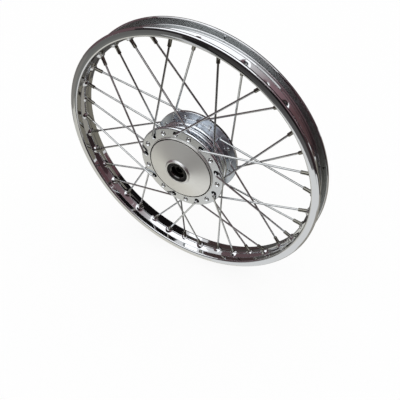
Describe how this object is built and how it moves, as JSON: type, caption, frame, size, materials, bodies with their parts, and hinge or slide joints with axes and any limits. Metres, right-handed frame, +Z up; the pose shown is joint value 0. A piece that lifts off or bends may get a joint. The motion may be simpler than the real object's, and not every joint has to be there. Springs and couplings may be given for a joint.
{
  "type": "spoked motorcycle wheel",
  "caption": "Wire-spoked motorcycle wheel: chromed steel rim laced with crossed spokes to an aluminium drum-brake hub that turns on ball bearings about a fixed inner stack.",
  "frame": {"origin": "middle of the rim on the axle line, where the axle runs through the hub", "axes": "+Y along the axle from the closed face of the hub to the open brake drum, +Z up, X level"},
  "size_m": [0.458, 0.0706, 0.458],
  "materials": {
    "chrome_plate": "polished chrome plate on rolled steel",
    "turned_aluminium": "satin turned casting",
    "cast_iron": "fine-turned grey iron",
    "bearing_steel": "ground bearing steel",
    "seal_rubber": "moulded black rubber",
    "zinc_steel": "zinc-plated tube",
    "spoke_steel": "bright plated wire"
  },
  "bodies": {
    "inner_stack": {"closed_side_bearing_inner_ring": "bearing_steel", "drum_side_bearing_inner_ring": "bearing_steel", "distance_collar": "zinc_steel"},
    "wheel": {"rim": "chrome_plate", "hub_shell": "turned_aluminium", "brake_liner": "cast_iron", "closed_side_bearing_outer_ring": "bearing_steel", "drum_side_bearing_outer_ring": "bearing_steel", "dust_seal": "seal_rubber", "closed_outer_spoke_1": "spoke_steel", "closed_outer_spoke_2": "spoke_steel", "closed_outer_spoke_3": "spoke_steel", "closed_outer_spoke_4": "spoke_steel", "closed_outer_spoke_5": "spoke_steel", "closed_outer_spoke_6": "spoke_steel", "closed_outer_spoke_7": "spoke_steel", "closed_outer_spoke_8": "spoke_steel", "closed_outer_spoke_9": "spoke_steel", "closed_inner_spoke_1": "spoke_steel", "closed_inner_spoke_2": "spoke_steel", "closed_inner_spoke_3": "spoke_steel", "closed_inner_spoke_4": "spoke_steel", "closed_inner_spoke_5": "spoke_steel", "closed_inner_spoke_6": "spoke_steel", "closed_inner_spoke_7": "spoke_steel", "closed_inner_spoke_8": "spoke_steel", "closed_inner_spoke_9": "spoke_steel", "drum_outer_spoke_1": "spoke_steel", "drum_outer_spoke_2": "spoke_steel", "drum_outer_spoke_3": "spoke_steel", "drum_outer_spoke_4": "spoke_steel", "drum_outer_spoke_5": "spoke_steel", "drum_outer_spoke_6": "spoke_steel", "drum_outer_spoke_7": "spoke_steel", "drum_outer_spoke_8": "spoke_steel", "drum_outer_spoke_9": "spoke_steel", "drum_inner_spoke_1": "spoke_steel", "drum_inner_spoke_2": "spoke_steel", "drum_inner_spoke_3": "spoke_steel", "drum_inner_spoke_4": "spoke_steel", "drum_inner_spoke_5": "spoke_steel", "drum_inner_spoke_6": "spoke_steel", "drum_inner_spoke_7": "spoke_steel", "drum_inner_spoke_8": "spoke_steel", "drum_inner_spoke_9": "spoke_steel"},
    "closed_side_cage": {"closed_side_bearing_balls_and_cage": "bearing_steel"},
    "drum_side_cage": {"drum_side_bearing_balls_and_cage": "bearing_steel"}
  },
  "joints": [
    {"name": "wheel_spin", "type": "hinge", "parent": "inner_stack", "child": "wheel", "pos_m": [0, 0, 0], "axis": [0, 1, 0], "continuous": true},
    {"name": "closed_side_cage_spin", "type": "hinge", "parent": "inner_stack", "child": "closed_side_cage", "pos_m": [0, 0, 0], "axis": [0, 1, 0], "continuous": true},
    {"name": "drum_side_cage_spin", "type": "hinge", "parent": "inner_stack", "child": "drum_side_cage", "pos_m": [0, 0, 0], "axis": [0, 1, 0], "continuous": true}
  ],
  "couplings": [
    {"joint": "closed_side_cage_spin", "follows": "wheel_spin", "ratio": 0.62143},
    {"joint": "drum_side_cage_spin", "follows": "wheel_spin", "ratio": 0.62143}
  ]
}
